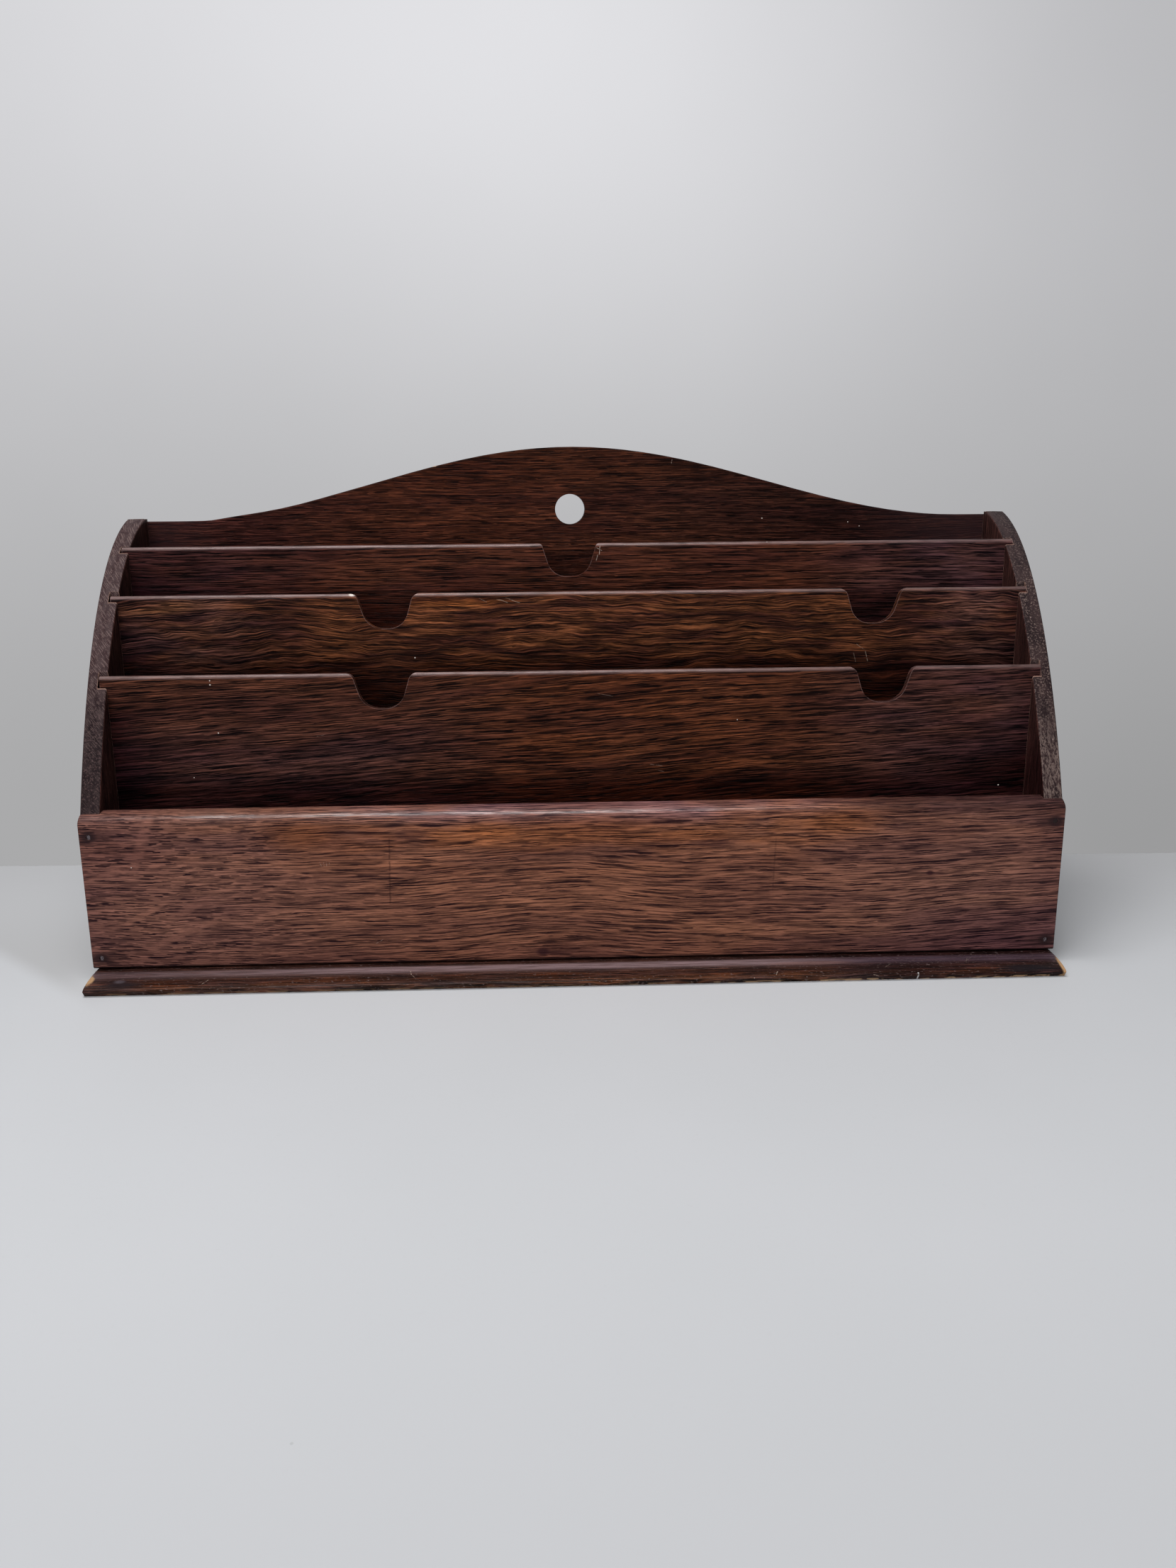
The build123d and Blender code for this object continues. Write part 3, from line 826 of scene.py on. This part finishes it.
def left_marks(colour, x, y, z):
    tone = mix(fade(z, 100.0, 132.0), LEFT_LOW, LEFT_HIGH)
    mottled = fade(cloud(x, z, 2.5, 5.0, 5.0), 0.35, 0.65, 0.0, 0.6) * fade(z, 90.0, 130.0, 0.35, 1.0)
    tone = lay(tone, mottled, MAUVE_GREY)
    along, across = turned(x, z, SCUFF_SLANT)
    scuffs = place_group("Pores", Along=along, Line=across, Length=3.6, Spacing=0.5, Width=0.24, Share=0.8)
    tone = lay(tone, scuffs["Mask"] * fade(z, 80.0, 130.0, 0.1, 0.55), SCUFF_GREY)
    grains = grit(x, y, z, 0.7, 0.52, 0.66) * fade(z, 95.0, 130.0, 0.4, 0.35)
    tone = lay(tone, grains, GRAIN_BROWN)
    tone = lay(tone, fade(y, 49.2, 50.2, 0.0, 0.6), TAN_STRIP)
    return lay(colour, is_edge(), tone)


dress(oak_board("left side oak", "zyx", SIDE_RUB, left_marks, Seed=6.0, **SIDE_OAK), "left_side")

# %% Right side
RIGHT_DARK, RIGHT_PALE = (0.018, 0.011, 0.012), (0.036, 0.022, 0.022)
GRIT_GREY, FLAKE_GREY = (0.150, 0.105, 0.092), (0.30, 0.22, 0.20)
BARE_FOOT, INNER_FOOT_SHADE = (0.150, 0.108, 0.095), (0.62, 0.50, 0.55)


def right_marks(colour, x, y, z):
    tone = mix(fade(cloud(x, z, 4.0, 10.0, 5.0), 0.35, 0.65), RIGHT_DARK, RIGHT_PALE)
    patchy = fade(cloud(x, z, 3.0, 9.0, 8.0), 0.32, 0.6, 0.25, 1.0)
    grains = grit(x, y, z, 0.75, 0.50, 0.66) * patchy * fade(z, 150.0, 172.0, 0.75, 0.4)
    tone = lay(tone, grains, GRIT_GREY)
    flakes = place_group("Specks", Board=combine(z, y, x), Cell=3.2, Radius=0.22, Share=0.25)["Mask"]
    tone = lay(tone, flakes, FLAKE_GREY)
    streaks = noise(combine(z * 0.26 + x / 0.6, z / 2.6, y / 2.6), 3.0, 0.6)
    foot = fade(z, 84.0, 112.0, 1.0, 0.0) * fade(streaks, 0.45, 0.60) * 0.75
    tone = lay(tone, foot, BARE_FOOT)
    # Painted shade on the lower part of the inner face, beside the front divider's right end.
    shaded_inner_foot = fade(x, 193.0, 196.0, 1.0, 0.0) * fade(z, 76.0, 108.0, 1.0, 0.0)
    colour = tint(colour, shaded_inner_foot, INNER_FOOT_SHADE)
    return lay(colour, is_edge(), tone)


dress(oak_board("right side oak", "zyx", SIDE_RUB, right_marks, Seed=6.5, **SIDE_OAK), "right_side")

# %% [markdown]
# ## The base
# The nose of the base takes every knock. It is mauve brown along its rounded top, with a painted
# highlight band there mixed with wear, orange brown below, and nearly black towards the right. Painted
# shade darkens the strip at the foot of the front board. The stain is gone along the bottom arris and at
# both corners, where raw golden oak shows. A knot sits near the left end. A mark is placed by its distance
# along the nose and by a number that grows from the foot of the front board over the round and down.

# %% Base: tones of its nose
NOSE_BROWN, MAUVE_WEAR_AND_HIGHLIGHT, FLECK_GREY = (0.080, 0.046, 0.046), (0.215, 0.145, 0.152), (0.150, 0.105, 0.100)
DEEPER_TONE_AND_SHADE, ORANGE, DUSKY = (0.70, 0.58, 0.54), (1.5, 1.2, 0.7), (0.50, 0.48, 0.62)


def nose_tones(colour, x, nose):
    """Broad tones of the nose: mauve above with a painted highlight band, painted shade at the foot of the
    front board, orange below, dusky to its ends.
    """
    slow = cloud(x, nose, 26.0, 4.0, 3.0)
    upper = fade(nose, 1.5, 4.0) * fade(nose, 9.0, 13.0, 1.0, 0.0) * 0.3
    colour = lay(colour, upper, NOSE_BROWN)
    # Painted highlight mixed with wear: a broken pale mauve band along the flat top of the nose, where light
    # catches it.
    wear_and_highlight = (fade(abs(nose - 6.0), 1.2, 3.9, 1.0, 0.0)
            * fade(cloud(x, nose, 18.0, 1.2, 8.0), 0.38, 0.58, 0.45, 0.95)
            * fade(x, 80.0, 130.0, 1.0, 0.45) * fade(x, -195.0, -60.0, 0.35, 1.0))
    colour = lay(colour, wear_and_highlight, MAUVE_WEAR_AND_HIGHLIGHT)
    deep = fade(nose, 10.0, 12.5) * fade(nose, 15.5, 17.0, 1.0, 0.3) * fade(x, 60.0, 110.0, 1.0, 0.2)
    # A deeper tone lower on the nose, and painted shade on the strip along the foot of the front board.
    colour = tint(colour, highest(deep, fade(nose, 1.2, 3.4, 1.0, 0.0)), DEEPER_TONE_AND_SHADE)
    colour = tint(colour, fade(nose, 10.0, 14.0) * fade(slow, 0.35, 0.6), ORANGE)
    dusky = highest(fade(x, 75.0, 130.0), fade(x, -196.0, -150.0, 0.4, 0.0))
    colour = tint(colour, dusky, DUSKY)
    flecks = fade(cloud(x, nose, 1.6, 0.7, 6.0), 0.60, 0.70) * fade(slow, 0.35, 0.6, 0.2, 0.7)
    return lay(colour, flecks, FLECK_GREY)


print("tones of the nose ready")

# %% Base: its marks
NOSE_START = front_low.y + 5.0
BURNT, KNOT_EYE, TONGUE = (0.010, 0.008, 0.010), (0.085, 0.068, 0.080), (0.165, 0.085, 0.075)
NOSE_KNOT, RUBBED_ARRIS, BARE_OAK = (0.012, 0.008, 0.010), (0.42, 0.27, 0.155), (0.38, 0.225, 0.115)
NOSE_SPOTS = (((183.0, 15.5), 12.0, 2.6, 0.6, 0.9, BURNT), ((94.0, 7.8), 16.0, 1.6, 0.4, 0.6, TONGUE),
              ((-184.8, 14.4), 8.0, 2.6, 0.7, 0.9, NOSE_KNOT), ((-185.4, 12.0), 2.0, 1.3, 0.6, 0.6, KNOT_EYE))
NOSE_SCRATCHES = (
    ((-152.1, 15.6), (-149.8, 11.4), 0.28, 0.45), ((-153.6, 14.0), (-151.6, 12.6), 0.2, 0.3),
    ((-69.3, 7.4), (-68.4, 11.2), 0.28, 0.7), ((-68.4, 11.2), (-67.0, 13.6), 0.22, 0.4),
    ((161.2, 5.6), (159.4, 10.6), 0.22, 0.22), ((163.4, 5.2), (158.6, 9.8), 0.2, 0.18),
    ((80.6, 14.4), (79.6, 17.6), 0.35, 0.6), ((119.0, 18.6), (121.5, 19.6), 0.3, 0.5),
    ((46.0, 9.6), (50.5, 10.4), 0.25, 0.25), ((128.0, 10.0), (124.6, 13.5), 0.25, 0.22))
NOSE_NICK = ((137.6, 17.6), (137.5, 22.4), 0.55, 1.0)


def base_marks(colour, x, y, z):
    nose = NOSE_START - y - z
    colour = nose_tones(colour, x, nose)
    for centre, half_x, half_nose, soft, strength, tone in NOSE_SPOTS:
        colour = lay(colour, spot(x, nose, centre, half_x, half_nose, soft) * strength, tone)
    arris = (fade(z, 0.7, 1.3, 1.0, 0.0) * fade(cloud(x, z, 6.0, 1.5, 7.0), 0.48, 0.56)
             * fade(x, 20.0, 120.0, 0.35, 1.0))
    colour = lay(colour, arris, RUBBED_ARRIS)
    jagged = nose + (cloud(x, nose, 2.5, 2.0, 5.0) * 4.0 - 2.0)
    corners = highest(spot(x, jagged, (-198.6, 10.5), 2.3, 4.2, 0.25),
                      spot(x, jagged, (199.0, 15.0), 1.9, 8.5, 0.25),
                      spot(x, jagged, (191.0, 21.8), 12.0, 1.3, 0.3))
    colour = lay(colour, corners, BARE_OAK)
    colour = scratches(colour, x, nose, (0.40, 0.31, 0.25), NOSE_SCRATCHES)
    return scratches(colour, x, nose, (0.75, 0.74, 0.72), [NOSE_NICK])


print("scratches on the nose:", len(NOSE_SCRATCHES))

# %% Base: its material
def base_shine(x, y, z):
    patchy = fade(cloud(x, y, 22.0, 4.0, 9.0), 0.34, 0.6, 0.12, 0.55)
    return fade(y, -58.8, -56.5, 0.2, 1.0) * patchy * fade(x, 95.0, 140.0, 1.0, 0.5)


dress(oak_board(
    "base oak", "xyz", (0.5, 0.4, (0.30, 0.19, 0.14), 0.6), base_marks, shine=base_shine,
    Seed=7.0, Wander=1.5, Wander_Length=90.0, Ripple=0.8, Ripple_Length=14.0, Fibre_Strength=1.1,
    Line_Strength=0.8, Light=(0.092, 0.040, 0.029), Middle=(0.050, 0.022, 0.018), Dark=SIDE_BLACK),
    "base_board")

# %% [markdown]
# ## The nails
# Round wire nails, set flush and stained over with the wood. Wear has cleaned most of their heads to a
# dull violet grey. The one at the top right is still dark.

# %% Nails
DULL_STEEL, RUST = (0.17, 0.14, 0.155), (0.035, 0.022, 0.022)


def nail_steel():
    material, shader, place = start_material("dull nail steel")
    x, y, z = split(place)
    stained = fade(noise(scaled(combine(x, z, y), 2.5), 3.0), 0.4, 0.65)
    top_right = fade(x, 0.0, 1.0) * fade(z, 50.0, 51.0)
    rim = fade(abs(abs(x) - NAILS[-1][0]), 0.40, 0.75)
    rust = highest(stained, top_right, rim)
    fill_all(shader, {"Base Color": mix(rust, DULL_STEEL, RUST), "Metallic": 0.6,
                      "Roughness": fade(rust, 0.0, 1.0, 0.35, 0.7)})
    return material


dress(nail_steel(), "front_nails", "back_nails", "base_nails")

# %% [markdown]
# ## Table and wall
# A pale table and a pale wall close behind it. The table's colour holds painted shade: it darkens towards
# the wall and towards the camera, and a painted shadow lies left of the rack. The wall is only a picture
# behind the rack: it glows with painted light, bright high in the middle and dimmer towards its foot and
# its right, where the camera or a reflection looks at it, it neither lights nor shades the rack, and its
# back can be looked through, so that the rack can be viewed from behind.

# %% Table
TABLE_SIZE = 6.0
half = TABLE_SIZE / 2
PAINT_DULL, PAINT_LIGHT = (0.495, 0.505, 0.520), (0.525, 0.530, 0.550)
PAINT_SHADE_BEHIND, PAINT_SHADED, PAINT_SHADE_NEAR = (0.43, 0.43, 0.44), (0.415, 0.415, 0.422), (0.455, 0.460, 0.475)
CLOUD_SIZE, DIMPLE_SIZE = 90.0, 1.6


def link_object(name, data):
    made = bpy.data.objects.new(name, data)
    bpy.context.scene.collection.objects.link(made)
    return made


def plane(name, corners, material):
    mesh = bpy.data.meshes.new(name)
    mesh.from_pydata(corners, [], [(0, 1, 2, 3)])
    mesh.materials.append(material)
    return link_object(name, mesh)


def table_paint_and_shade():
    material, shader, place = start_material("table paint and shade")
    x, y, z = split(place)
    colour = mix(noise(scaled(place, 1 / CLOUD_SIZE), 3.0), PAINT_DULL, PAINT_LIGHT)
    dimples = fade(noise(scaled(place, 1 / DIMPLE_SIZE), 2.0), 0.60, 0.75, 0.0, 0.06)
    colour = lay(colour, dimples, (0.36, 0.36, 0.36))
    flecks = place_group("Specks", Board=place, Cell=34.0, Radius=0.55, Share=0.22)["Mask"] * 0.5
    colour = lay(colour, flecks, (0.20, 0.20, 0.19))
    # Painted shade: the table darkens towards the wall, in a painted shadow left of the rack, and towards the
    # camera.
    colour = lay(colour, fade(y, -60.0, 110.0, 0.0, 0.75), PAINT_SHADE_BEHIND)
    behind_corner = fade(y + (x * 0.94 + 248.0), -7.0, 9.0)
    shaded = behind_corner * fade(x, -225.0, -180.0, 1.0, 0.0) * fade(y, -20.0, 90.0, 1.0, 0.1)
    colour = lay(colour, shaded, PAINT_SHADED)
    colour = lay(colour, fade(y, -380.0, -190.0, 1.0, 0.0), PAINT_SHADE_NEAR)
    fill_all(shader, {"Base Color": colour, "Roughness": 0.6, "Specular IOR Level": 0.2})
    return material


table_corners = [(-half, -half, 0), (half, -half, 0), (half, half, 0), (-half, half, 0)]
table = plane("table", table_corners, table_paint_and_shade())
print("table of", TABLE_SIZE, "m")

# %% Wall
WALL_BEHIND = 0.1135
WALL_TURN = radians(-1.24)
WALL_HEIGHT = 2.4
MOTTLE_SIZE = 120.0
# The wall's glow is painted light: from a dim foot to a bright top, with painted pools of light and shade.
WALL_FOOT = (0.397, 0.397, 0.402)
WALL_HIGH = (0.668, 0.668, 0.690)
WALL_LIGHT_AND_SHADE_SPOTS = (((-20.0, 430.0), 200.0, 140.0, 0.145), ((330.0, 450.0), 220.0, 200.0, -0.19),
              ((340.0, 0.0), 160.0, 90.0, -0.07), ((-240.0, 330.0), 150.0, 110.0, -0.05))


def wall_painted_light():
    material, shader, place = start_material("wall painted light")
    Wire.bench.nodes.remove(shader)
    x, y, z = split(place)
    colour = mix(fade(z, 0.0, 400.0) ** 1.3, WALL_FOOT, WALL_HIGH)
    shade = fade(x, 40.0, 330.0, 1.0, 0.90)
    for centre, half_x, half_z, more in WALL_LIGHT_AND_SHADE_SPOTS:
        shade = shade + spot(x, z, centre, half_x, half_z, 0.9) * more
    shade = shade + (noise(scaled(place, 1 / MOTTLE_SIZE), 3.0) - 0.5) * 0.06
    glow = add_node("Emission", {"Color": tint(colour, 1.0, combine(shade, shade, shade)), "Strength": 1.0})
    behind = add_node("NewGeometry", output="Backfacing")
    either = add_node("MixShader", {0: behind, 1: glow, 2: add_node("BsdfTransparent")})
    output = next(n for n in Wire.bench.nodes if n.type == "OUTPUT_MATERIAL")
    fill(output.inputs["Surface"], either)
    return material


wall_corners = [(-half, 0, 0), (half, 0, 0), (half, 0, WALL_HEIGHT), (-half, 0, WALL_HEIGHT)]
wall = plane("wall", wall_corners, wall_painted_light())
wall.matrix_world = Matrix.Translation((0, WALL_BEHIND, 0)) @ Matrix.Rotation(WALL_TURN, 4, "Z")
wall.visible_diffuse = wall.visible_shadow = False
print("wall", round(WALL_BEHIND / MM), "mm behind the rack's middle")

# %% [markdown]
# ## Light
# The room's light hangs above the rack, a little in front of it and to the left. It draws the thin
# highlights along the rounded edges. A soft lamp from the front and the left stands for the daylight of
# the room, and lets the left side board shade the corner beside it. It is left out of reflections, because
# a real room is dark behind the camera, and a mirrored lamp would lay a grey veil over the dark wood.

# %% Light
def area_lamp(name, place, size, power):
    """A rectangular lamp that points at the rack's middle."""
    lamp = bpy.data.lights.new(name, "AREA")
    lamp.shape = "RECTANGLE"
    (lamp.size, lamp.size_y), lamp.energy = size, power
    made = link_object(name, lamp)
    made.location = place
    made.rotation_euler = (Vector(place) - (cad_low + cad_high) / 2).to_track_quat("Z", "Y").to_euler()
    return made


area_lamp("ceiling lamp", place=(-0.15, -0.25, 1.25), size=(0.8, 0.45), power=12.0)
room_lamp = area_lamp("room lamp", place=(-0.48, -1.36, 1.0), size=(1.5, 1.0), power=21.0)
room_lamp.visible_glossy = False
world = bpy.data.worlds.new("pale room")
bpy.context.scene.world = world
world.use_nodes = True
sky = next(n for n in world.node_tree.nodes if n.type == "BACKGROUND")
fill_all(sky, {"Color": (0.92, 0.95, 1.0), "Strength": 0.12})

# %% [markdown]
# ## Camera
# The photographer held a phone half a metre away, a little left of the middle and above the rack,
# looking slightly down. The angles and the place were solved from the rack's own edges.

# %% Camera
CAMERA_PLACE = Vector((-9.99, -502.35, 191.72)) * MM
CAMERA_TURN = radians(1.776)
CAMERA_DIP = radians(-13.621)
CAMERA_ROLL = radians(0.497)
LENS_IN_PIXELS = 1661.0
PHOTO_HEIGHT = 2212.0
SENSOR = 36.0
NEAREST = 0.01

forward = Vector((sin(CAMERA_TURN) * cos(CAMERA_DIP), cos(CAMERA_TURN) * cos(CAMERA_DIP), sin(CAMERA_DIP)))
level = Vector((cos(CAMERA_TURN), -sin(CAMERA_TURN), 0))
down = forward.cross(level)
right = level * cos(CAMERA_ROLL) + down * sin(CAMERA_ROLL)
down = down * cos(CAMERA_ROLL) - level * sin(CAMERA_ROLL)
camera_data = bpy.data.cameras.new("camera")
camera_data.sensor_width = SENSOR
camera_data.lens = SENSOR * LENS_IN_PIXELS / PHOTO_HEIGHT
camera_data.clip_start = NEAREST
camera = link_object("camera", camera_data)
axes = Matrix((right, -down, -forward)).transposed()
camera.matrix_world = Matrix.Translation(CAMERA_PLACE) @ axes.to_4x4()
bpy.context.scene.camera = camera
print("lens", round(camera_data.lens, 2), "mm")

# %% View transform
bpy.context.scene.view_settings.view_transform = "Standard"
